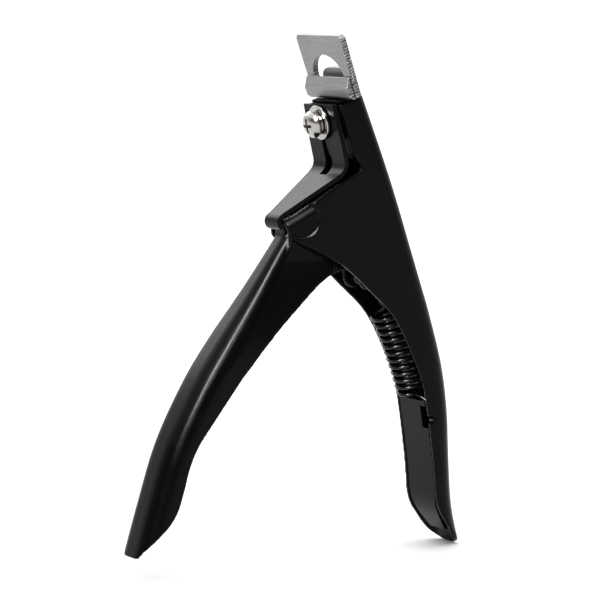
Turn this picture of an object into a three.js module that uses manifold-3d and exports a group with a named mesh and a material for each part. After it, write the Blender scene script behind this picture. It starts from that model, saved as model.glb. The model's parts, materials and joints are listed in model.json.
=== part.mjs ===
// Guillotine clipper with two pressed-steel channel handles.
// Units are millimetres, +Z is up, the tool lies in the XZ plane and Y is its thickness.
// The head leans over, so head parts are drawn in head axes (p, y, q) and then turned:
// p runs through the head plate from front to rear, q runs up along the plate.
import * as THREE from 'three';
import { mergeVertices } from 'three/addons/utils/BufferGeometryUtils.js';
import Module from 'manifold-3d';

const wasm = await Module();
wasm.setup();

// ---------------------------------------------------------------- driving dimensions
const HEAD_LEAN = THREE.MathUtils.degToRad(19);
const SHEET = 1.2;
const GAP = 0.25;
const ORIGIN = { x: -1.4, z: -0.9 };

const PIVOT = { x: -6.45, z: 86.4 };
const DRIVE_ARM = 25.2;
const DRIVE_REST_ANGLE = THREE.MathUtils.degToRad(10);

const FRAME_HALF = 7.5;
const PLATE = { front: 48.1, rear: 49.7, top: 124.3, bottom: 97.0, halfTop: 10.75, halfNeck: 5.9 };
const WINDOW = { half: 7.3, rise: 6.3, spring: 112.8, sill: 111.5 };
const STRAP = { crease: 46.1, top: 113.4, bottom: 107.6, half: 10.25 };
const BLADE = {
  front: 49.95, rear: 51.45, tip: 115.0, half: 6.4, corner: 3.2, flat: 1.5,
  footHalf: 4.9, foot: 99.95, flare: 107.9,
};
const BRIDGE = { front: 44.7, rear: 46.5, top: 107.9, bottom: 92.5, half: 6.0 };
const BRACKET = {
  thick: 1.1, half: 7.65, endHalf: 3.2, kneeFront: 41.2, kneeHeight: 93.4, topFront: 42.6, top: 107.6,
};
const CLAMP = { height: 103.1, shank: 1.35, hole: 1.65 };

// ---------------------------------------------------------------- solid helpers
function toSolid(geometry) {
  const bare = geometry.clone();
  bare.deleteAttribute('normal');
  bare.deleteAttribute('uv');
  const welded = mergeVertices(bare, 1e-4);
  return new wasm.Manifold(new wasm.Mesh({
    numProp: 3,
    vertProperties: new Float32Array(welded.attributes.position.array),
    triVerts: new Uint32Array(welded.index.array),
  }));
}

function toGeometry(solid) {
  const raw = solid.getMesh();
  const geometry = new THREE.BufferGeometry();
  geometry.setAttribute('position', new THREE.BufferAttribute(new Float32Array(raw.vertProperties), 3));
  geometry.setIndex(new THREE.BufferAttribute(new Uint32Array(raw.triVerts), 1));
  return geometry;
}

function cut(base, ...tools) {
  return tools.reduce((left, tool) => left.subtract(tool), base);
}

function join(base, ...others) {
  return others.reduce((left, other) => left.add(other), base);
}

// Closed skin over a stack of rings that all have the same number of points.
function skinRings(rings) {
  const count = rings[0].length;
  const points = rings.flat();
  const faces = [];
  for (let level = 0; level + 1 < rings.length; level += 1) {
    for (let i = 0; i < count; i += 1) {
      const a = level * count + i;
      const b = level * count + (i + 1) % count;
      faces.push(a, b, a + count, b, b + count, a + count);
    }
  }
  for (const [level, flip] of [[0, true], [rings.length - 1, false]]) {
    const half = count / 2;
    for (let i = 0; i + 1 < half; i += 1) {
      const a = level * count + i;
      const b = a + 1;
      const c = level * count + count - 1 - i;
      const d = c - 1;
      faces.push(...(flip ? [a, c, b, b, c, d] : [a, b, c, b, d, c]));
    }
  }
  return orientOutward(points, faces);
}

function orientOutward(points, faces) {
  let volume = 0;
  for (let i = 0; i < faces.length; i += 3) {
    const [a, b, c] = [points[faces[i]], points[faces[i + 1]], points[faces[i + 2]]];
    volume += a.clone().cross(b).dot(c);
  }
  if (volume < 0) faces.reverse();
  const geometry = new THREE.BufferGeometry();
  geometry.setAttribute('position', new THREE.Float32BufferAttribute(points.flatMap((v) => v.toArray()), 3));
  geometry.setIndex(faces);
  return geometry;
}

// Shape drawn in (x, z), thickened along y between y0 and y1.
function sideSlab(shape, y0, y1, curveSegments = 10) {
  const geometry = new THREE.ExtrudeGeometry(shape, { depth: y1 - y0, bevelEnabled: false, curveSegments });
  geometry.rotateX(Math.PI / 2);
  geometry.translate(0, y1, 0);
  return geometry;
}

// Shape drawn in (x, y), thickened along z between z0 and z1.
function planSlab(shape, z0, z1) {
  const geometry = new THREE.ExtrudeGeometry(shape, { depth: z1 - z0, bevelEnabled: false });
  geometry.translate(0, 0, z0);
  return geometry;
}

// Shape drawn in (y, z), thickened along x between x0 and x1.
function frontSlab(shape, x0, x1, curveSegments = 8) {
  const geometry = new THREE.ExtrudeGeometry(shape, { depth: x1 - x0, bevelEnabled: false, curveSegments });
  return geometry.applyMatrix4(new THREE.Matrix4().set(0, 0, 1, x0, 1, 0, 0, 0, 0, 1, 0, 0, 0, 0, 0, 1));
}

// Shape drawn in (y, q), thickened along p, placed in the leaning head.
function headSlab(shape, p0, p1, curveSegments = 16) {
  return frontSlab(shape, p0, p1, curveSegments).rotateY(-HEAD_LEAN);
}

// Turned profile of [radius, p] pairs about the line y, q, placed in axes that lean by the given angle.
function headLathe(profile, y, q, segments = 32, lean = HEAD_LEAN) {
  const points = profile.map(([radius, p]) => new THREE.Vector2(radius, p));
  const geometry = new THREE.LatheGeometry(points, segments);
  geometry.rotateZ(-Math.PI / 2);
  geometry.translate(0, y, q);
  return geometry.rotateY(-lean);
}

// Round pin along y at x, z with softened ends, centred on the plane y = middle.
function crossPin(x, z, radius, halfLength, segments = 20, middle = 0) {
  const soft = radius * 0.25;
  const profile = [[0, -halfLength], [radius - soft, -halfLength], [radius, -halfLength + soft],
    [radius, halfLength - soft], [radius - soft, halfLength], [0, halfLength]];
  const geometry = new THREE.LatheGeometry(profile.map(([r, y]) => new THREE.Vector2(r, y)), segments);
  return geometry.translate(x, middle, z);
}

function rectangle(x0, y0, x1, y1) {
  const shape = new THREE.Shape();
  shape.moveTo(x0, y0).lineTo(x1, y0).lineTo(x1, y1).lineTo(x0, y1).closePath();
  return shape;
}

function headPoint(p, q) {
  return {
    x: p * Math.cos(HEAD_LEAN) - q * Math.sin(HEAD_LEAN),
    z: p * Math.sin(HEAD_LEAN) + q * Math.cos(HEAD_LEAN),
  };
}

// Smooth value along a list of [z, value] pairs given from top to bottom.
function followCurve(pairs) {
  const curve = new THREE.SplineCurve(pairs.map(([z, value]) => new THREE.Vector2(value, z)));
  const samples = curve.getPoints(pairs.length * 12);
  return (z) => {
    let i = 0;
    while (i + 2 < samples.length && samples[i + 1].y > z) i += 1;
    const [upper, lower] = [samples[i], samples[i + 1]];
    const t = (upper.y - z) / (upper.y - lower.y);
    return upper.x + (lower.x - upper.x) * t;
  };
}

// Value that eases from low to high between two heights and is constant beyond them.
function blendBetween(z, zLow, zHigh, low, high) {
  return low + (high - low) * THREE.MathUtils.smoothstep(z, zLow, zHigh);
}

// ---------------------------------------------------------------- pressed channel
// U section at height z: web at the back, flanges running to the open front.
const CORNER_STEPS = 6;

function channelRing(z, section) {
  const { back, front, half, corner, stretch } = section(z);
  const side = Math.sign(back - front);
  const rim = (inset) => {
    const line = [];
    const bx = back - side * inset * stretch;
    const hy = half - inset;
    const ry = corner - inset;
    const rx = ry * stretch;
    line.push([front, -hy]);
    for (let i = 0; i <= CORNER_STEPS; i += 1) {
      const a = (i / CORNER_STEPS) * Math.PI / 2;
      line.push([bx - side * rx * (1 - Math.sin(a)), -hy + ry * (1 - Math.cos(a))]);
    }
    for (let i = CORNER_STEPS; i >= 0; i -= 1) {
      const a = (i / CORNER_STEPS) * Math.PI / 2;
      line.push([bx - side * rx * (1 - Math.sin(a)), hy - ry * (1 - Math.cos(a))]);
    }
    line.push([front, hy]);
    return line;
  };
  const ring = [...rim(0), ...rim(SHEET).reverse()];
  return ring.map(([x, y]) => new THREE.Vector3(x, y, z));
}

function channelBody(section, zTop, zBottom, levels) {
  const rings = [];
  for (let i = 0; i <= levels; i += 1) {
    rings.push(channelRing(zTop + (zBottom - zTop) * (i / levels), section));
  }
  return toSolid(skinRings(rings));
}

function slope(curve, z) {
  return (curve(z + 0.5) - curve(z - 0.5));
}

// ---------------------------------------------------------------- main handle
const frameBack = followCurve([[126, 12.1], [117.9, 15.4], [101.7, 21.9], [88.9, 26.8], [74.7, 31.9],
  [61.6, 36.6], [47.8, 40.6], [35.3, 42.5], [22.8, 43.1], [10.9, 43.9], [3.2, 45.5], [-1, 46.9], [-6, 49]]);

function frameSection(z) {
  return {
    back: frameBack(z),
    front: -16,
    half: FRAME_HALF,
    corner: blendBetween(z, 50, 106, 4.8, 3.3),
    stretch: Math.hypot(1, slope(frameBack, z)),
  };
}

// Front edge of the grip above its curved end, as [x, z] pairs going up.
const GRIP_FRONT = [[36.3, 23.7], [33.5, 41.1]];

// Side outline of one flange. The near flange is notched where the bracket bends; the far one is not.
function frameOutline(notched) {
  const neckFront = headPoint(44.6, 107);
  const neckBack = headPoint(56.0, 107);
  const shape = new THREE.Shape();
  shape.moveTo(neckFront.x, neckFront.z);
  shape.lineTo(neckBack.x, neckBack.z);
  shape.lineTo(60, 60);
  shape.lineTo(60, 2.4);
  shape.lineTo(47.9, 2.4);
  shape.quadraticCurveTo(47.8, -0.9, 46.1, -0.9);
  shape.quadraticCurveTo(45.3, -0.9, 43.2, 1.8);
  shape.lineTo(39.2, 7.6);
  shape.quadraticCurveTo(37.6, 10.2, 37.3, 13.2);
  shape.splineThru([...GRIP_FRONT, [29.4, 51.3], [24.2, 60.6], [17.0, 67.7], [9.2, 74.4], [1.7, 78.5]]
    .map(([x, z]) => new THREE.Vector2(x, z)));
  shape.lineTo(-3.8, 81.2);
  shape.quadraticCurveTo(-5.5, 82.2, -5.9, 83.3);
  shape.lineTo(-6.3, 84.9);
  shape.lineTo(-7.2, 87.0);
  shape.lineTo(-4.5, 88.4);
  shape.lineTo(EAR.crease, 91.9);
  shape.lineTo(7.5, 95.9);
  if (notched) {
    shape.lineTo(13.1, 98.7);
    shape.quadraticCurveTo(14.5, 99.7, 13.3, 100.8);
    shape.quadraticCurveTo(12.0, 102.2, 11.5, 103.3);
  } else {
    shape.lineTo(10.8, 98.6);
    shape.lineTo(11.3, 101.8);
  }
  shape.closePath();
  return shape;
}

// Ears: the flange ends in front of the crease lean toward each other, down to the tip.
const EAR = { crease: 0.5, tip: -7.2, tipHalf: 4.7 };

function leaningEar(channel, side) {
  const lean = side * (FRAME_HALF - EAR.tipHalf) / (EAR.crease - EAR.tip);
  const reach = side > 0 ? [0, 12] : [-12, 0];
  const room = toSolid(sideSlab(rectangle(-20, 70, EAR.crease + 0.02, 100), ...reach));
  const shear = new THREE.Matrix4().set(1, 0, 0, 0, lean, 1, 0, -lean * EAR.crease, 0, 0, 1, 0, 0, 0, 0, 1);
  return channel.intersect(room).transform(shear.toArray());
}

// Round-cornered end of a handle: everything below the tip's corner arcs is taken away.
function tipRoom(x0, x1, bottom, half, radius) {
  const shape = new THREE.Shape();
  shape.moveTo(-half, 140);
  shape.lineTo(-half, bottom + radius);
  shape.absarc(-half + radius, bottom + radius, radius, Math.PI, Math.PI * 1.5, false);
  shape.absarc(half - radius, bottom + radius, radius, Math.PI * 1.5, Math.PI * 2, false);
  shape.lineTo(half, 140);
  shape.closePath();
  return toSolid(frontSlab(shape, x0, x1));
}

const ANCHOR = { x: 35.5, z: 33.2, radius: 0.85 };

function mainHandle() {
  const channel = channelBody(frameSection, 122, -4.5, 46);
  const nearSide = toSolid(sideSlab(frameOutline(true), -12, 1));
  const farSide = toSolid(sideSlab(frameOutline(false), 0, 12));
  const trimmed = channel.intersect(join(nearSide, farSide))
    .intersect(tipRoom(-20, 60, -0.95, FRAME_HALF + 0.05, 6.8));
  const earGap = toSolid(sideSlab(rectangle(-20, 70, EAR.crease, 100), -12, 12));
  const notch = new THREE.Shape();
  notch.moveTo(30, ANCHOR.z - ANCHOR.radius).lineTo(ANCHOR.x, ANCHOR.z - ANCHOR.radius);
  notch.absarc(ANCHOR.x, ANCHOR.z, ANCHOR.radius, -Math.PI / 2, Math.PI / 2, false);
  notch.lineTo(30, ANCHOR.z + ANCHOR.radius).closePath();
  return cut(join(cut(trimmed, earGap), leaningEar(trimmed, 1), leaningEar(trimmed, -1)),
    toSolid(sideSlab(notch, -12, 0)));
}

// Liner: a strip that closes the grip's open side between the flanges, below the spring.
const LINER = {
  top: 38.0, taperTop: 14, bottom: 3.0, endHalf: 3.3, half: 6.0, thick: 1.2, recess: 0.1,
  notchLow: 30.8, notchHigh: 36.6, notchY: -3.4,
};

function gripLiner() {
  const front = new THREE.Path();
  front.moveTo(43.2, 1.8);
  front.lineTo(39.2, 7.6);
  front.quadraticCurveTo(37.6, 10.2, 37.3, 13.2);
  front.splineThru(GRIP_FRONT.map(([x, z]) => new THREE.Vector2(x, z)));
  const setBack = LINER.recess + LINER.thick * 0.6;
  const middle = front.getPoints(10).map((point) => new THREE.Vector2(point.x + setBack, point.y));
  const strip = toSolid(sideSlab(thickLine(middle, LINER.thick), -LINER.half, LINER.half));
  const plan = new THREE.Shape();
  plan.moveTo(-LINER.half, LINER.top);
  plan.lineTo(-LINER.half, LINER.notchHigh);
  plan.lineTo(LINER.notchY, LINER.notchHigh);
  plan.lineTo(LINER.notchY, LINER.notchLow);
  plan.lineTo(-LINER.half, LINER.notchLow);
  plan.lineTo(-LINER.half, LINER.taperTop);
  plan.quadraticCurveTo(-LINER.half + 0.7, 7, -LINER.endHalf, LINER.bottom);
  plan.lineTo(LINER.endHalf, LINER.bottom);
  plan.quadraticCurveTo(LINER.half - 0.7, 7, LINER.half, LINER.taperTop);
  plan.lineTo(LINER.half, LINER.top);
  plan.closePath();
  return strip.intersect(toSolid(frontSlab(plan, 20, 60)));
}

// ---------------------------------------------------------------- head
function headPlate() {
  const neck = PLATE.bottom + 10.3;
  const shape = new THREE.Shape();
  const corner = 0.9;
  const snip = 1.6;
  shape.moveTo(-PLATE.halfNeck + snip, PLATE.bottom);
  shape.lineTo(PLATE.halfNeck - snip, PLATE.bottom);
  shape.lineTo(PLATE.halfNeck - 0.15, PLATE.bottom + snip);
  shape.lineTo(PLATE.halfNeck, neck);
  shape.lineTo(10.3, neck + 0.6);
  shape.lineTo(PLATE.halfTop, PLATE.top - corner);
  shape.lineTo(PLATE.halfTop - corner, PLATE.top);
  shape.lineTo(-PLATE.halfTop + corner, PLATE.top);
  shape.lineTo(-PLATE.halfTop, PLATE.top - corner);
  shape.lineTo(-10.3, neck + 0.6);
  shape.lineTo(-PLATE.halfNeck, neck);
  shape.lineTo(-PLATE.halfNeck + 0.15, PLATE.bottom + snip);
  shape.closePath();
  const window = new THREE.Path();
  window.moveTo(-WINDOW.half, WINDOW.sill);
  window.lineTo(WINDOW.half, WINDOW.sill);
  window.lineTo(WINDOW.half, WINDOW.spring);
  window.absellipse(0, WINDOW.spring, WINDOW.half, WINDOW.rise, 0, Math.PI, false, 0);
  window.closePath();
  shape.holes.push(window);
  const holes = [-1, 1].map(rivetHole);
  return cut(toSolid(headSlab(shape, PLATE.front, PLATE.rear, 24)), ...holes);
}

const RIVET = { y: 4.0, q: 98.9, radius: 0.9, head: 1.5 };

function rivetHole(side) {
  const radius = RIVET.radius + GAP;
  return toSolid(headLathe([[0, BRIDGE.front - 2], [radius, BRIDGE.front - 2], [radius, PLATE.rear + 2],
    [0, PLATE.rear + 2]], side * RIVET.y, RIVET.q, 20));
}

// Creased bar across the front of the plate.
function guideStrap() {
  const back = PLATE.front - GAP;
  const profile = new THREE.Shape();
  profile.moveTo(back, STRAP.bottom);
  profile.lineTo(STRAP.crease + 1.1, STRAP.bottom);
  profile.lineTo(STRAP.crease + 0.2, STRAP.bottom + 0.9);
  profile.lineTo(STRAP.crease, STRAP.bottom + 3.1);
  profile.lineTo(STRAP.crease + 1.5, STRAP.top);
  profile.lineTo(back, STRAP.top);
  profile.closePath();
  return sideSlab(profile, -STRAP.half, STRAP.half).rotateY(-HEAD_LEAN);
}

// Rivets: domed heads on the bridge plate, flush at the back of the head plate.
function headRivets() {
  const r = RIVET.radius;
  const seat = BRIDGE.front - GAP;
  const profile = [[0, seat - 1.1], [RIVET.head * 0.5, seat - 1.0], [RIVET.head * 0.85, seat - 0.6],
    [RIVET.head, seat - 0.1], [RIVET.head, seat], [r, seat], [r, PLATE.rear - 0.2], [r - 0.2, PLATE.rear],
    [0, PLATE.rear]];
  return [-1, 1].map((side) => headLathe(profile, side * RIVET.y, RIVET.q, 24));
}

function bridgePlate() {
  const shape = rectangle(-BRIDGE.half, BRIDGE.bottom, BRIDGE.half, BRIDGE.top);
  const screwHole = legLathe([[0, 1], [CLAMP.hole, 1], [CLAMP.hole, 8], [0, 8]], 24);
  const holes = [-1, 1].map(rivetHole);
  return cut(toSolid(headSlab(shape, BRIDGE.front, BRIDGE.rear)), toSolid(screwHole), ...holes);
}

// ---------------------------------------------------------------- slotted bracket
// The upright leg leans a little less than the head; the clamp screw stands square to it.
const LEG_RISE = BRACKET.top - BRACKET.kneeHeight;
const LEG_LEAN = HEAD_LEAN - Math.atan2(BRACKET.topFront - BRACKET.kneeFront, LEG_RISE);
const LEG_SEAT = (() => {
  const share = (CLAMP.height - BRACKET.kneeHeight) / LEG_RISE;
  const { x, z } = headPoint(THREE.MathUtils.lerp(BRACKET.kneeFront, BRACKET.topFront, share), CLAMP.height);
  return {
    depth: x * Math.cos(LEG_LEAN) + z * Math.sin(LEG_LEAN),
    height: z * Math.cos(LEG_LEAN) - x * Math.sin(LEG_LEAN),
  };
})();

// Turned profile of [radius, depth] pairs, depth counted backward from the leg's front face.
function legLathe(profile, segments) {
  const placed = profile.map(([radius, depth]) => [radius, LEG_SEAT.depth + depth]);
  return headLathe(placed, 0, LEG_SEAT.height, segments, LEG_LEAN);
}

// Shape drawn about the clamp screw's axis, thickened between two depths.
function legSlab(shape, depth0, depth1, curveSegments = 16) {
  const geometry = headSlab(shape, LEG_SEAT.depth + depth0, LEG_SEAT.depth + depth1, curveSegments);
  return geometry.rotateY(HEAD_LEAN).translate(0, 0, LEG_SEAT.height).rotateY(-LEG_LEAN);
}

const CURL = { radius: 1.6, start: THREE.MathUtils.degToRad(124), end: THREE.MathUtils.degToRad(248) };

// Middle line of the bracket sheet from its top edge down to the end of the curl.
function bracketLine() {
  const top = headPoint(BRACKET.topFront + BRACKET.thick / 2, BRACKET.top);
  const kneeTop = headPoint(BRACKET.kneeFront + BRACKET.thick / 2, BRACKET.kneeHeight);
  const curlStart = {
    x: PIVOT.x + CURL.radius * Math.cos(CURL.start),
    z: PIVOT.z + CURL.radius * Math.sin(CURL.start),
  };
  const along = { x: Math.sin(CURL.start), z: -Math.cos(CURL.start) };
  const knee = { x: curlStart.x + along.x * 17.3, z: curlStart.z + along.z * 17.3 };
  const corner = lineCrossing(top, kneeTop, curlStart, knee);
  const line = new THREE.Path();
  line.moveTo(top.x, top.z);
  line.lineTo(kneeTop.x, kneeTop.z);
  line.quadraticCurveTo(corner.x, corner.z, knee.x, knee.z);
  line.lineTo(curlStart.x, curlStart.z);
  line.absarc(PIVOT.x, PIVOT.z, CURL.radius, CURL.start, CURL.end, false);
  return line.getPoints(12);
}

function lineCrossing(a, b, c, d) {
  const r = { x: b.x - a.x, z: b.z - a.z };
  const s = { x: d.x - c.x, z: d.z - c.z };
  const t = ((c.x - a.x) * s.z - (c.z - a.z) * s.x) / (r.x * s.z - r.z * s.x);
  return { x: a.x + r.x * t, z: a.z + r.z * t };
}

// Strip of constant thickness following a line.
function thickLine(points, thickness) {
  const clean = points.filter((p, i) => i === 0 || p.distanceTo(points[i - 1]) > 1e-3);
  const offset = (side) => clean.map((p, i) => {
    const before = clean[Math.max(i - 1, 0)];
    const after = clean[Math.min(i + 1, clean.length - 1)];
    const dir = after.clone().sub(before).normalize();
    return new THREE.Vector2(p.x - dir.y * side * thickness / 2, p.y + dir.x * side * thickness / 2);
  });
  return new THREE.Shape([...offset(1), ...offset(-1).reverse()]);
}

function adjustingBracket() {
  const strip = sideSlab(thickLine(bracketLine(), BRACKET.thick), -BRACKET.half, BRACKET.half);
  const plan = new THREE.Shape();
  plan.moveTo(30, BRACKET.half);
  plan.lineTo(7.5, BRACKET.half);
  plan.lineTo(-7.0, BRACKET.endHalf);
  plan.lineTo(-20, BRACKET.endHalf);
  plan.lineTo(-20, -BRACKET.endHalf);
  plan.lineTo(-7.0, -BRACKET.endHalf);
  plan.lineTo(7.5, -BRACKET.half);
  plan.lineTo(30, -BRACKET.half);
  plan.closePath();
  const slot = new THREE.Shape();
  slot.absarc(0, CLAMP.height + 0.6, CLAMP.hole, 0, Math.PI, false);
  slot.lineTo(-CLAMP.hole, 80);
  slot.lineTo(CLAMP.hole, 80);
  slot.closePath();
  const trimmed = toSolid(strip).intersect(toSolid(planSlab(plan, 60, 130)));
  return cut(trimmed, toSolid(headSlab(slot, 38.2, 48)));
}

// ---------------------------------------------------------------- clamp screw stack
// Depths are measured from the leg's front face, negative towards the screw's head.
const SCREW = {
  crown: -4.5, seat: -2.35, end: 4.95, chamfer: 0.35, recess: -3.05, armLength: 1.85, armHalf: 0.4,
};

function clampScrew() {
  const profile = [[0, SCREW.crown], [1.5, -4.4], [2.5, -4.0], [3.2, -3.4], [3.5, -2.75], [3.4, SCREW.seat],
    [CLAMP.shank, SCREW.seat], [CLAMP.shank, SCREW.end - SCREW.chamfer],
    [CLAMP.shank - SCREW.chamfer, SCREW.end], [0, SCREW.end]];
  const body = toSolid(legLathe(profile, 32));
  const { armLength, armHalf } = SCREW;
  const across = legSlab(rectangle(-armLength, -armHalf, armLength, armHalf), SCREW.crown - 1, SCREW.recess);
  const upright = legSlab(rectangle(-armHalf, -armLength, armHalf, armLength), SCREW.crown - 1, SCREW.recess);
  return cut(body, toSolid(across), toSolid(upright));
}

function splitWasher() {
  const gap = THREE.MathUtils.degToRad(7);
  const seam = -Math.PI / 2 + THREE.MathUtils.degToRad(4);
  const shape = new THREE.Shape();
  shape.absarc(0, 0, 3.05, seam + gap, seam - gap + Math.PI * 2, false);
  shape.absarc(0, 0, 1.75, seam - gap + Math.PI * 2, seam + gap, true);
  shape.closePath();
  return toSolid(legSlab(shape, -2.1, -1.3, 28));
}

const WASHER = { inner: 1.75, outer: 4.5, front: -1.05, back: -0.25, chamfer: 0.15 };

function flatWasher() {
  const { inner, outer, front, back, chamfer } = WASHER;
  const face = outer - chamfer;
  const profile = [[inner, front], [face, front], [outer, front + chamfer], [outer, back - chamfer],
    [face, back], [inner, back], [inner, front]];
  return toSolid(legLathe(profile, 40));
}

// ---------------------------------------------------------------- lever handle
const leverBack = followCurve([[92, 0.5], [84, -5.2], [80, -8.0], [69, -16.1], [57.9, -24.8], [46.9, -32.5],
  [32.2, -40.4], [16.8, -45.7], [4.5, -49.5], [-2, -51.5]]);
const leverHalf = (z) => blendBetween(z, 50, 84, 7.0, 3.9);
const leverCorner = (z) => blendBetween(z, 50, 84, 5.0, 2.6);

function leverSection(z) {
  return {
    back: leverBack(z),
    front: 26,
    half: leverHalf(z),
    corner: leverCorner(z),
    stretch: Math.hypot(1, slope(leverBack, z)),
  };
}

const DRIVE = {
  x: PIVOT.x + DRIVE_ARM * Math.cos(DRIVE_REST_ANGLE),
  z: PIVOT.z + DRIVE_ARM * Math.sin(DRIVE_REST_ANGLE),
  radius: 1.5,
};
const POST = { x: 18.3, z: 70.9, radius: 0.95 };

function leverOutline() {
  const shape = new THREE.Shape();
  shape.moveTo(-60, 84.2);
  shape.lineTo(-60, 4.3);
  shape.lineTo(-49.4, 4.3);
  shape.quadraticCurveTo(-48.8, 4.5, -47.9, 6.2);
  shape.lineTo(-44.4, 9.8);
  shape.quadraticCurveTo(-40.6, 12.9, -38.9, 16.6);
  shape.quadraticCurveTo(-37.6, 20.2, -36.7, 23.6);
  shape.quadraticCurveTo(-35.2, 29.4, -32.0, 33.6);
  shape.lineTo(-20.9, 47.7);
  shape.splineThru([[-12.2, 57.0], [-4.0, 64.4], [2.6, 69.9], [6.6, 72.4]]
    .map(([x, z]) => new THREE.Vector2(x, z)));
  shape.lineTo(6.6, 84.2);
  shape.closePath();
  return shape;
}

// One side arm: from the fulcrum past the drive pin, with a lobe for the spring post.
function armOutline() {
  const boss = 2.7;
  const lobe = 3.0;
  const shape = new THREE.Shape();
  shape.moveTo(-4.2, 84.6);
  shape.lineTo(-3.0, 86.6);
  shape.lineTo(DRIVE.x - 1.2, DRIVE.z + boss);
  shape.absarc(DRIVE.x, DRIVE.z, boss, Math.PI * 0.6, 0, true);
  shape.lineTo(POST.x + lobe, POST.z);
  shape.absarc(POST.x, POST.z, lobe, 0, -Math.PI, true);
  shape.quadraticCurveTo(POST.x - lobe, 73.4, 11.5, 73.4);
  shape.quadraticCurveTo(8.8, 73.4, 6.0, 72.0);
  shape.lineTo(-2.0, 68.5);
  shape.lineTo(-7.0, 76.0);
  shape.closePath();
  return shape;
}

const ARM_OUTER = 4.3;
const BEAD = { radius: 0.7, half: 2.4 };

function leverHandle() {
  const channel = channelBody(leverSection, 86, 1.5, 36);
  const trimmed = channel.intersect(toSolid(sideSlab(leverOutline(), -12, 12)))
    .intersect(tipRoom(-60, 30, 4.1, 7.1, 5.0));
  const arms = [[-ARM_OUTER, -ARM_OUTER + SHEET], [ARM_OUTER - SHEET, ARM_OUTER]]
    .map(([y0, y1]) => toSolid(sideSlab(armOutline(), y0, y1)));
  const bead = toSolid(crossPin(PIVOT.x, PIVOT.z, BEAD.radius, BEAD.half, 20));
  const neckLine = new THREE.Path();
  neckLine.moveTo(PIVOT.x, PIVOT.z);
  neckLine.lineTo(PIVOT.x + 0.75, PIVOT.z - 2.1);
  neckLine.quadraticCurveTo(PIVOT.x + 1.2, PIVOT.z - 3.2, PIVOT.x + 0.9, PIVOT.z - 4.6);
  const neck = toSolid(sideSlab(thickLine(neckLine.getPoints(6), 1.0), -BEAD.half, BEAD.half));
  const pinHole = (pin) => toSolid(crossPin(pin.x, pin.z, pin.radius + GAP, 20));
  const clear = new THREE.Shape();
  clear.absarc(PIVOT.x, PIVOT.z, CURL.radius + BRACKET.thick / 2 + 0.35, 0, Math.PI * 2, false);
  const curlRoom = toSolid(sideSlab(clear, -12, 12));
  return cut(join(cut(join(trimmed, ...arms), curlRoom), bead, neck), pinHole(DRIVE), pinHole(POST));
}

// ---------------------------------------------------------------- blade carriage
const DRIVE_Q = -DRIVE.x * Math.sin(HEAD_LEAN) + DRIVE.z * Math.cos(HEAD_LEAN);
const CARRIER = { half: 4.9, stem: 2.6, shoulder: 92.0, bottom: DRIVE_Q - 3.2, top: BLADE.foot - GAP };
const LUG = { p: 47.08, radius: 2.9 };

// Flat bar behind the head plate with a lug at the bottom that is driven by the cross pin.
function bladeCarrier() {
  const shape = new THREE.Shape();
  shape.moveTo(-CARRIER.stem, CARRIER.bottom);
  shape.lineTo(CARRIER.stem, CARRIER.bottom);
  shape.lineTo(CARRIER.stem, CARRIER.shoulder - 2);
  shape.lineTo(CARRIER.half, CARRIER.shoulder);
  shape.lineTo(CARRIER.half, CARRIER.top);
  shape.lineTo(-CARRIER.half, CARRIER.top);
  shape.lineTo(-CARRIER.half, CARRIER.shoulder);
  shape.lineTo(-CARRIER.stem, CARRIER.shoulder - 2);
  shape.closePath();
  const bar = toSolid(headSlab(shape, BLADE.front, BLADE.rear));
  const lug = new THREE.Shape();
  lug.moveTo(BLADE.rear - 0.4, DRIVE_Q + LUG.radius);
  lug.lineTo(LUG.p, DRIVE_Q + LUG.radius);
  lug.absarc(LUG.p, DRIVE_Q, LUG.radius, Math.PI / 2, Math.PI * 1.5, false);
  lug.lineTo(BLADE.rear - 0.4, DRIVE_Q - LUG.radius);
  lug.closePath();
  const barrel = toSolid(sideSlab(lug, -CARRIER.stem, CARRIER.stem, 14).rotateY(-HEAD_LEAN));
  const eye = new THREE.Shape();
  const play = 0.3;
  const eyeRadius = DRIVE.radius + 0.28;
  eye.moveTo(LUG.p - play, DRIVE_Q - eyeRadius);
  eye.lineTo(LUG.p + play, DRIVE_Q - eyeRadius);
  eye.absarc(LUG.p + play, DRIVE_Q, eyeRadius, -Math.PI / 2, Math.PI / 2, false);
  eye.lineTo(LUG.p - play, DRIVE_Q + eyeRadius);
  eye.absarc(LUG.p - play, DRIVE_Q, eyeRadius, Math.PI / 2, Math.PI * 1.5, false);
  const eyeTool = toSolid(sideSlab(eye, -10, 10, 14).rotateY(-HEAD_LEAN));
  return cut(join(bar, barrel), eyeTool);
}

// Blade with rounded shoulders standing on the carrier behind the head plate.
function blade() {
  const { tip, half, corner, flat, footHalf, foot, flare } = BLADE;
  const shape = new THREE.Shape();
  shape.moveTo(-footHalf, foot);
  shape.lineTo(footHalf, foot);
  shape.lineTo(footHalf, flare);
  shape.lineTo(half, flare + 1);
  shape.lineTo(half, tip - corner);
  shape.quadraticCurveTo(half - 0.4, tip - 0.1, flat, tip);
  shape.lineTo(-flat, tip);
  shape.quadraticCurveTo(-half + 0.4, tip - 0.1, -half, tip - corner);
  shape.lineTo(-half, flare + 1);
  shape.lineTo(-footHalf, flare);
  shape.closePath();
  return headSlab(shape, BLADE.front, BLADE.rear, 20);
}

// ---------------------------------------------------------------- return spring
const SPRING = {
  top: new THREE.Vector3(25.0, 0, 61.8),
  bend: new THREE.Vector3(30.6, 0, 50.6),
  bottom: new THREE.Vector3(33.9, 0, 39.4),
  radius: 3.35,
  wire: 0.5,
  turns: 12,
};

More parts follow.
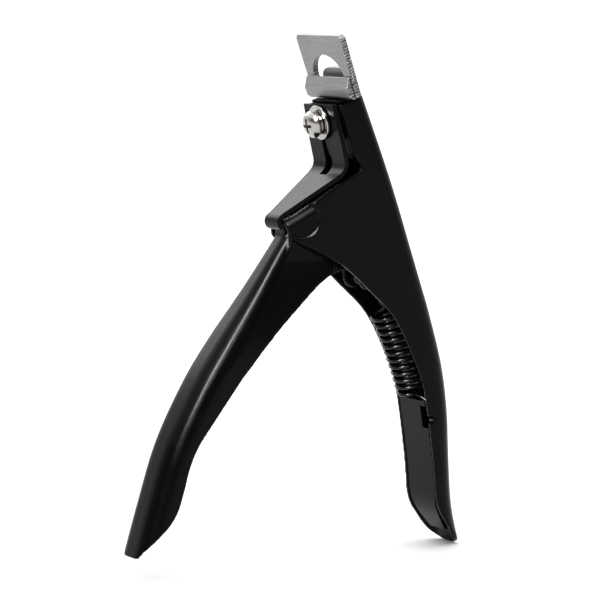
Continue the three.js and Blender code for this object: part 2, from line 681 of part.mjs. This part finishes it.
function springPath() {
  const axis = new THREE.QuadraticBezierCurve3(SPRING.top, SPRING.bend, SPRING.bottom);
  const across = new THREE.Vector3(0, 1, 0);
  const points = [];
  const loop = POST.radius + SPRING.wire + 0.2;
  for (const angle of [4.6, 3.6, 2.6, 1.6, 0.6]) {
    const [x, z] = [POST.x + loop * Math.cos(angle), POST.z + loop * Math.sin(angle)];
    points.push(new THREE.Vector3(x, 0.1 * angle, z));
  }
  const steps = SPRING.turns * 16;
  for (let i = 0; i <= steps; i += 1) {
    const t = i / steps;
    const centre = axis.getPoint(t);
    const normal = axis.getTangent(t).cross(across).normalize();
    const angle = t * SPRING.turns * Math.PI * 2;
    const grow = Math.min(1, i / 6, (steps - i) / 6);
    const reach = SPRING.radius * (0.25 + 0.75 * grow);
    centre.addScaledVector(normal, reach * Math.cos(angle)).addScaledVector(across, reach * Math.sin(angle));
    points.push(centre);
  }
  const tail = [[1.5, 3.6, 4.4], [1.6, 2.5, 2.0], [0.9, 1.9, 0.1], [0.1, 0.8, 0], [0, -0.5, 0]];
  for (const [back, inward, up] of tail) {
    points.push(new THREE.Vector3(ANCHOR.x + back, -FRAME_HALF + inward, ANCHOR.z + up));
  }
  return points;
}

function wireBody(points, radius, sides) {
  const curve = new THREE.CatmullRomCurve3(points, false, 'centripetal');
  const count = points.length;
  const samples = Array.from({ length: count + 1 }, (_, i) => curve.getPoint(i / count));
  const rings = [];
  let normal = new THREE.Vector3(0, 1, 0);
  samples.forEach((point, i) => {
    const tangent = samples[Math.min(i + 1, count)].clone().sub(samples[Math.max(i - 1, 0)]).normalize();
    normal = normal.clone().addScaledVector(tangent, -normal.dot(tangent)).normalize();
    const side = tangent.clone().cross(normal);
    const ring = [];
    for (let k = 0; k < sides; k += 1) {
      const a = (k / sides) * Math.PI * 2;
      const outward = normal.clone().multiplyScalar(Math.cos(a)).addScaledVector(side, Math.sin(a));
      ring.push(point.clone().addScaledVector(outward, radius));
    }
    rings.push(ring);
  });
  return toSolid(skinRings(rings));
}

// ---------------------------------------------------------------- materials and nodes
const paint = { color: 0x101012, roughness: 0.42, metalness: 0.35 };
const brushed = { color: 0xb4b6b8, roughness: 0.34, metalness: 1.0 };
const nickel = { color: 0xc9c8c4, roughness: 0.2, metalness: 1.0 };
const dark = { color: 0x2c2c2e, roughness: 0.35, metalness: 0.9 };

const group = new THREE.Group();
group.name = 'guillotine_clipper';
group.position.set(-ORIGIN.x, 0, -ORIGIN.z);

function addNode(name, finish, ...shapes) {
  const solids = shapes.map((shape) => (shape.isBufferGeometry ? toSolid(shape) : shape));
  const mesh = new THREE.Mesh(toGeometry(join(...solids)), new THREE.MeshStandardMaterial(finish));
  mesh.name = name;
  group.add(mesh);
}

addNode('main_handle', paint, mainHandle());
addNode('grip_liner', paint, gripLiner());
addNode('bridge_plate', paint, bridgePlate());
addNode('head_plate', brushed, headPlate());
addNode('guide_strap', brushed, guideStrap());
headRivets().forEach((rivet, i) => addNode(`head_rivet_${i + 1}`, dark, rivet));
addNode('adjusting_bracket', paint, adjustingBracket());
addNode('clamp_screw', nickel, clampScrew());
addNode('lock_washer', nickel, splitWasher());
addNode('flat_washer', nickel, flatWasher());
addNode('lever_handle', paint, leverHandle());
addNode('drive_pin', dark, crossPin(DRIVE.x, DRIVE.z, DRIVE.radius, 5.4));
addNode('spring_post', dark, crossPin(POST.x, POST.z, POST.radius, 4.9));
addNode('blade_carrier', dark, bladeCarrier());
addNode('blade', brushed, blade());
addNode('return_spring', dark, wireBody(springPath(), SPRING.wire, 8));

export default group;
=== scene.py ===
import json
import math

import bmesh
import bpy
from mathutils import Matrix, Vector


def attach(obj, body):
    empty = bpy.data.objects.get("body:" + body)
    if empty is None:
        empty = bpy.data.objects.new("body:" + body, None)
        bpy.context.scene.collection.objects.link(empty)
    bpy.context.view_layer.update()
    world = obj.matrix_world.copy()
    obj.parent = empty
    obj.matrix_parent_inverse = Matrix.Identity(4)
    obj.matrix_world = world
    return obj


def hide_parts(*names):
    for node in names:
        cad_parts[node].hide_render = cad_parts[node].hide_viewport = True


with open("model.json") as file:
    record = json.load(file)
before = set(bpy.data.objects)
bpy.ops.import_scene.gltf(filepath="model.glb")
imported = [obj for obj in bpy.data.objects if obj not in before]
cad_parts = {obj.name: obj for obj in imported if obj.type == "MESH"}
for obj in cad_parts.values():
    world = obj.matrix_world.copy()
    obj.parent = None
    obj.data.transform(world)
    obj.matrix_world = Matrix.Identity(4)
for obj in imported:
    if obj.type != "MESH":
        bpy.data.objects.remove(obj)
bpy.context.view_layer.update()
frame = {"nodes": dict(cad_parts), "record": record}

MM = 0.001
NODES = frame["nodes"]
RECORD = frame["record"]
BEHAVIOUR = RECORD["behaviour"]
SLOT_OF = {part["node"]: part["material_slot"] for part in RECORD["subparts"]}
BODY_OF = {node: body for body, nodes in BEHAVIOUR["bodies"].items() for node in nodes}
PIVOT = Vector(BEHAVIOUR["joints"][0]["pos_m"])
HEAD_LEAN = math.radians(19)
OBJECT_MIDDLE = Vector((1.4, 0, 66.9)) * MM
WELD_DISTANCE = 2e-6


# ---------------------------------------------------------------- node helpers for materials
class Shader:
    """A material with a Principled shader and short calls to add nodes."""

    def __init__(self, name, **sockets):
        self.material = bpy.data.materials.new(name)
        self.material.use_nodes = True
        self.tree = self.material.node_tree
        self.principled = self.tree.nodes["Principled BSDF"]
        for socket, value in sockets.items():
            self.principled.inputs[socket.replace("_", " ")].default_value = value
        self.place = self.add("ShaderNodeTexCoord").outputs["Object"]
        self.bump = None

    def add(self, kind, inputs=(), **settings):
        node = self.tree.nodes.new(kind)
        for name, value in settings.items():
            setattr(node, name, value)
        for socket, value in dict(inputs).items():
            if isinstance(value, bpy.types.NodeSocket):
                self.tree.links.new(value, node.inputs[socket])
            else:
                node.inputs[socket].default_value = value
        return node

    def stretched(self, scale, turn):
        """Object coordinates, turned and scaled."""
        inputs = {"Vector": self.place, "Scale": scale, "Rotation": turn}
        return self.add("ShaderNodeMapping", inputs).outputs["Vector"]

    def noise(self, scale, detail, roughness=0.5, at=None):
        inputs = {
            "Vector": at or self.place, "Scale": scale, "Detail": detail, "Roughness": roughness,
        }
        return self.add("ShaderNodeTexNoise", inputs).outputs["Fac"]

    def spread(self, value, low, high, start=0.3, end=0.7):
        """The value's run from start to end becomes a run from low to high."""
        inputs = {"Value": value, "From Min": start, "From Max": end, "To Min": low, "To Max": high}
        return self.add("ShaderNodeMapRange", inputs).outputs["Result"]

    def mix(self, fac, a, b):
        """Colour a where fac is 0 and colour b where it is 1."""
        node = self.add("ShaderNodeMix", data_type="RGBA")
        sockets = {"Factor": fac, "A": a, "B": b}
        for socket in node.inputs:
            if socket.name in sockets and (socket.name == "Factor" or socket.type == "RGBA"):
                value = sockets[socket.name]
                if isinstance(value, bpy.types.NodeSocket):
                    self.tree.links.new(value, socket)
                else:
                    socket.default_value = value
                if socket.name == "Factor":
                    sockets.pop("Factor")
        return next(s for s in node.outputs if s.type == "RGBA")

    def raise_surface(self, height, distance):
        """Bump of this depth in metres, on top of any bump that is there."""
        inputs = {"Height": height, "Distance": distance, "Strength": 1.0}
        if self.bump:
            inputs["Normal"] = self.bump
        self.bump = self.add("ShaderNodeBump", inputs).outputs["Normal"]
        self.tree.links.new(self.bump, self.principled.inputs["Normal"])

    def drive(self, socket, value):
        self.tree.links.new(value, self.principled.inputs[socket])


def grey(level, tint=0.0):
    """Grey, a little bluer with more tint."""
    return (level * (1 - tint), level, level * (1 + tint), 1.0)


def black_paint():
    s = Shader("black_paint", Specular_IOR_Level=0.07)
    cloud = s.noise(60, 4)
    s.drive("Base Color", s.mix(s.spread(cloud, 0, 1), grey(0.002, 0.04), grey(0.0034, 0.02)))
    s.drive("Roughness", s.spread(s.noise(220, 3), 0.21, 0.27))
    s.raise_surface(s.noise(420, 2), 6e-6)
    s.raise_surface(s.noise(1400, 2), 1.5e-6)
    return s.material


def ground_steel(name, dark, light, rough, grain_turn):
    s = Shader(name, Metallic=1.0)
    grain = s.noise(1, 6, roughness=0.6, at=s.stretched((2600, 160, 2600), grain_turn))
    cloud = s.noise(110, 4)
    tone = s.mix(s.spread(grain, 0, 1), grey(dark, 0.012), grey(light, 0.008))
    stain = s.spread(cloud, 0.0, 0.35)
    s.drive("Base Color", s.mix(stain, tone, grey(dark * 0.8, 0.015)))
    s.drive("Roughness", s.spread(grain, rough, rough + 0.12))
    s.raise_surface(grain, 6e-6)
    return s


def head_plate_steel():
    """Ground faces; the sides keep the teeth that the stamping and filing left, their bands
    darkened with painted shade.
    """
    s = ground_steel("brushed_steel", dark=0.19, light=0.27, rough=0.42,
                     grain_turn=(0, -HEAD_LEAN, 0))
    normal = s.add("ShaderNodeNewGeometry").outputs["True Normal"]
    side = s.add("ShaderNodeSeparateXYZ", {"Vector": normal})
    facing = s.add("ShaderNodeMath", {0: side.outputs["Y"]}, operation="ABSOLUTE").outputs[0]
    mask = s.spread(facing, 0, 1, start=0.75, end=0.9)
    wave = {
        "Vector": s.stretched((1, 1, 1), (0, HEAD_LEAN, 0)), "Scale": 420,
        "Distortion": 6.0, "Detail": 3.0, "Detail Scale": 2.0,
    }
    ridges = s.add("ShaderNodeTexWave", wave, wave_type="BANDS", bands_direction="Z").outputs["Fac"]
    teeth_and_painted_shade = s.add("ShaderNodeMath", {0: ridges, 1: mask}, operation="MULTIPLY").outputs[0]
    ground = s.principled.inputs["Base Color"].links[0].from_socket
    # painted shade: the side teeth's bands are darkened in the colour, while the bump below raises
    # the teeth themselves
    s.drive("Base Color", s.mix(teeth_and_painted_shade, ground, grey(0.05)))
    s.raise_surface(teeth_and_painted_shade, 1.6e-4)
    return s.material


def bright_nickel():
    s = Shader("nickel_plate", Metallic=1.0)
    cloud = s.noise(500, 4)
    dark, light = (0.30, 0.29, 0.275, 1), (0.44, 0.43, 0.41, 1)
    s.drive("Base Color", s.mix(s.spread(cloud, 0, 1), dark, light))
    s.drive("Roughness", s.spread(s.noise(900, 3), 0.13, 0.24))
    s.raise_surface(s.noise(700, 3), 4e-6)
    return s.material


def dark_steel():
    s = Shader("dark_steel", Metallic=0.6)
    cloud = s.noise(300, 4)
    s.drive("Base Color", s.mix(s.spread(cloud, 0, 1), grey(0.010, 0.02), grey(0.022, 0.01)))
    s.drive("Roughness", s.spread(s.noise(800, 3), 0.16, 0.28))
    s.raise_surface(s.noise(900, 3), 4e-6)
    return s.material


MATERIALS = {
    "black_paint": black_paint(),
    "brushed_steel": head_plate_steel(),
    "nickel_plate": bright_nickel(),
    "dark_steel": dark_steel(),
}


# ---------------------------------------------------------------- pieces made from the CAD solids
def paint_object(piece, slot):
    piece.data.materials.clear()
    piece.data.materials.append(MATERIALS[slot])


def add_piece(node, name, mesh):
    """New object that stands for a CAD node, on the same body and with the same finish."""
    piece = bpy.data.objects.new(name, mesh)
    bpy.context.scene.collection.objects.link(piece)
    paint_object(piece, SLOT_OF[node])
    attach(piece, BODY_OF[node])
    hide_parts(node)
    return piece


FLAT_ANGLE = math.radians(0.4)


def welded_copy(node):
    """Mesh of a CAD node with its corners merged and its flat faces whole again."""
    bm = bmesh.new()
    bm.from_mesh(NODES[node].data)
    bmesh.ops.remove_doubles(bm, verts=bm.verts, dist=WELD_DISTANCE)
    bmesh.ops.dissolve_limit(bm, angle_limit=FLAT_ANGLE, verts=bm.verts, edges=bm.edges)
    return bm


def smooth_shade(bm, limit):
    """Smooth faces, with edges that turn by the limit or more left sharp."""
    for face in bm.faces:
        face.smooth = True
    for edge in bm.edges:
        edge.smooth = len(edge.link_faces) == 2 and edge.calc_face_angle(0.0) < limit


def applied(piece):
    """Puts the piece's modifiers into its mesh."""
    graph = bpy.context.evaluated_depsgraph_get()
    mesh = bpy.data.meshes.new_from_object(piece.evaluated_get(graph))
    piece.modifiers.clear()
    piece.data = mesh


def softened(node, width, segments, sharp=32):
    """Copy of a CAD part whose edges that turn by more than sharp degrees are rounded."""
    bm = welded_copy(node)
    smooth_shade(bm, math.radians(sharp))
    mesh = bpy.data.meshes.new(node + "_fine")
    bm.to_mesh(mesh)
    bm.free()
    piece = add_piece(node, node + "_fine", mesh)
    bevel = piece.modifiers.new("edges", "BEVEL")
    bevel.width = width
    bevel.segments = segments
    bevel.limit_method = "ANGLE"
    bevel.angle_limit = math.radians(sharp)
    bevel.harden_normals = True
    return piece


VOXEL = 0.3 * MM
RUB_FACTOR = 0.5
RUB_PASSES = 6


def pressed_sheet(node, shape=None):
    """Copy of a pressed handle as one even skin, with its edges and facets rubbed soft."""
    bm = welded_copy(node)
    mesh = bpy.data.meshes.new(node + "_shell")
    bm.to_mesh(mesh)
    bm.free()
    piece = add_piece(node, node + "_shell", mesh)
    remesh = piece.modifiers.new("skin", "REMESH")
    remesh.mode = "VOXEL"
    remesh.voxel_size = VOXEL
    remesh.use_smooth_shade = True
    smooth = piece.modifiers.new("rub", "SMOOTH")
    smooth.factor = RUB_FACTOR
    smooth.iterations = RUB_PASSES
    applied(piece)
    if shape:
        for vertex in piece.data.vertices:
            vertex.co.y = shape(vertex.co)
    for polygon in piece.data.polygons:
        polygon.use_smooth = True
    return piece


def smoothstep(value, low, high):
    t = min(max((value - low) / (high - low), 0.0), 1.0)
    return t * t * (3 - 2 * t)


EAR_CENTRE = PIVOT + Vector((3.25, 0, 0.6)) * MM
EAR_RADIUS = 4.8 * MM
EAR_STEP_WIDTH = 0.35 * MM
EAR_INSET_MM = 0.45
EAR_TOP_SLOPE = 0.62
EAR_TOP_RISE = 2.0 * MM
ROLL_DEPTH = 2.4 * MM
ROLL_INSET_MM = 0.75
ROLL_FADE_START = 3.6 * MM
ROLL_FADE_END = 5.0 * MM


def ear_shape(point):
    """Each ear is set in a step from the flange along a round line and rolls over at its top."""
    away = math.hypot(point.x - EAR_CENTRE.x, point.z - EAR_CENTRE.z)
    inside = 1 - smoothstep(away, EAR_RADIUS - EAR_STEP_WIDTH, EAR_RADIUS)
    top = EAR_CENTRE.z + (point.x - EAR_CENTRE.x) * EAR_TOP_SLOPE + EAR_TOP_RISE
    roll = smoothstep(point.z, top - ROLL_DEPTH, top)
    left = 1 - smoothstep(point.x, EAR_CENTRE.x + ROLL_FADE_START, EAR_CENTRE.x + ROLL_FADE_END)
    inset = inside * (EAR_INSET_MM + ROLL_INSET_MM * roll * left) * MM
    return point.y - math.copysign(min(inset, abs(point.y)), point.y)


pressed_sheet("main_handle", ear_shape)
pressed_sheet("lever_handle")

softened("adjusting_bracket", 0.22 * MM, 3)
softened("bridge_plate", 0.12 * MM, 2)
softened("head_plate", 0.22 * MM, 3)
softened("guide_strap", 0.22 * MM, 3, sharp=12)
softened("grip_liner", 0.2 * MM, 3)
for part in ("blade", "blade_carrier", "clamp_screw", "lock_washer"):
    softened(part, 0.1 * MM, 2)
for part in ("flat_washer", "head_rivet_1", "head_rivet_2", "drive_pin", "spring_post"):
    softened(part, 0.08 * MM, 2)


def finish_spring():
    """The coil stays the CAD's own object and only gets a smooth skin."""
    spring = NODES["return_spring"]
    paint_object(spring, "dark_steel")
    for polygon in spring.data.polygons:
        polygon.use_smooth = True
    weld = spring.modifiers.new("weld", "WELD")
    weld.merge_threshold = WELD_DISTANCE
    finer = spring.modifiers.new("finer", "SUBSURF")
    finer.levels = 1
    finer.render_levels = 1


finish_spring()


# ---------------------------------------------------------------- floor, light and camera
def floor_material():
    s = Shader("floor", Roughness=0.7)
    cloud = s.noise(9, 4)
    s.drive("Base Color", s.mix(s.spread(cloud, 0, 1), grey(0.88), grey(0.9)))
    s.raise_surface(s.noise(900, 2), 1e-5)
    return s.material


FLOOR_RADIUS = 30.0
FLOOR_HEIGHT = -0.02 * MM


def add_floor():
    bm = bmesh.new()
    bmesh.ops.create_circle(bm, cap_ends=True, radius=FLOOR_RADIUS, segments=96)
    mesh = bpy.data.meshes.new("floor")
    bm.to_mesh(mesh)
    bm.free()
    floor = bpy.data.objects.new("floor", mesh)
    floor.location.z = FLOOR_HEIGHT
    mesh.materials.append(floor_material())
    bpy.context.scene.collection.objects.link(floor)


def add_light(name, kind, direction, distance, energy, **settings):
    """Light that shines on the object from this direction and distance."""
    data = bpy.data.lights.new(name, kind)
    data.energy = energy
    for key, value in settings.items():
        setattr(data, key, value)
    light = bpy.data.objects.new(name, data)
    way = Vector(direction).normalized()
    light.location = OBJECT_MIDDLE + way * distance
    light.rotation_mode = "QUATERNION"
    light.rotation_quaternion = way.to_track_quat("Z", "Y")
    bpy.context.scene.collection.objects.link(light)
    return light


add_floor()
add_light("overhead", "SUN", (0, 0.15, 1), distance=2, energy=2.3, angle=math.radians(120))
add_light("rear_softbox", "AREA", (0.09, 0.85, 0.53), distance=1.1, energy=4.0,
          shape="RECTANGLE", size=1.0, size_y=0.6)
edge_light = add_light("left_softbox", "AREA", (-0.55, -0.48, 0.69), distance=1.0, energy=34.0,
                       shape="RECTANGLE", size=0.2, size_y=0.6)
# it gives the paint its highlights without brightening the floor
edge_light.visible_diffuse = False


CAMERA_AZIMUTH = math.radians(-31)
CAMERA_ELEVATION = math.radians(6.3)
CAMERA_VIEW_ANGLE = math.radians(12)
CAMERA_DISTANCE = 728.1 * MM
WORLD_TURN = math.radians(-59)
WORLD_FADE = {"From Min": -0.5, "From Max": 0.3, "To Min": 0.05, "To Max": 1.05}


def add_world():
    """White surroundings that are dark to one side and bright to the other."""
    world = bpy.data.worlds.new("studio")
    world.use_nodes = True
    tree = world.node_tree
    background = tree.nodes["Background"]
    background.inputs["Color"].default_value = grey(1.0)
    place = tree.nodes.new("ShaderNodeTexCoord")
    turned = tree.nodes.new("ShaderNodeMapping")
    turned.inputs["Rotation"].default_value = (0, 0, WORLD_TURN)
    fade = tree.nodes.new("ShaderNodeSeparateXYZ")
    level = tree.nodes.new("ShaderNodeMapRange")
    for socket, value in WORLD_FADE.items():
        level.inputs[socket].default_value = value
    tree.links.new(place.outputs["Generated"], turned.inputs["Vector"])
    tree.links.new(turned.outputs["Vector"], fade.inputs["Vector"])
    tree.links.new(fade.outputs["X"], level.inputs["Value"])
    tree.links.new(level.outputs["Result"], background.inputs["Strength"])
    bpy.context.scene.world = world


def add_camera():
    level = math.cos(CAMERA_ELEVATION)
    back = Vector((math.sin(CAMERA_AZIMUTH) * level, -math.cos(CAMERA_AZIMUTH) * level,
                   math.sin(CAMERA_ELEVATION)))
    data = bpy.data.cameras.new("camera")
    data.sensor_width = 36
    data.lens = data.sensor_width / 2 / math.tan(CAMERA_VIEW_ANGLE / 2)
    data.clip_start = 0.01
    data.clip_end = 100
    camera = bpy.data.objects.new("camera", data)
    camera.location = OBJECT_MIDDLE + back * CAMERA_DISTANCE
    camera.rotation_mode = "QUATERNION"
    camera.rotation_quaternion = back.to_track_quat("Z", "Y")
    bpy.context.scene.collection.objects.link(camera)
    bpy.context.scene.camera = camera


add_world()
add_camera()
bpy.context.scene.view_settings.view_transform = "Standard"
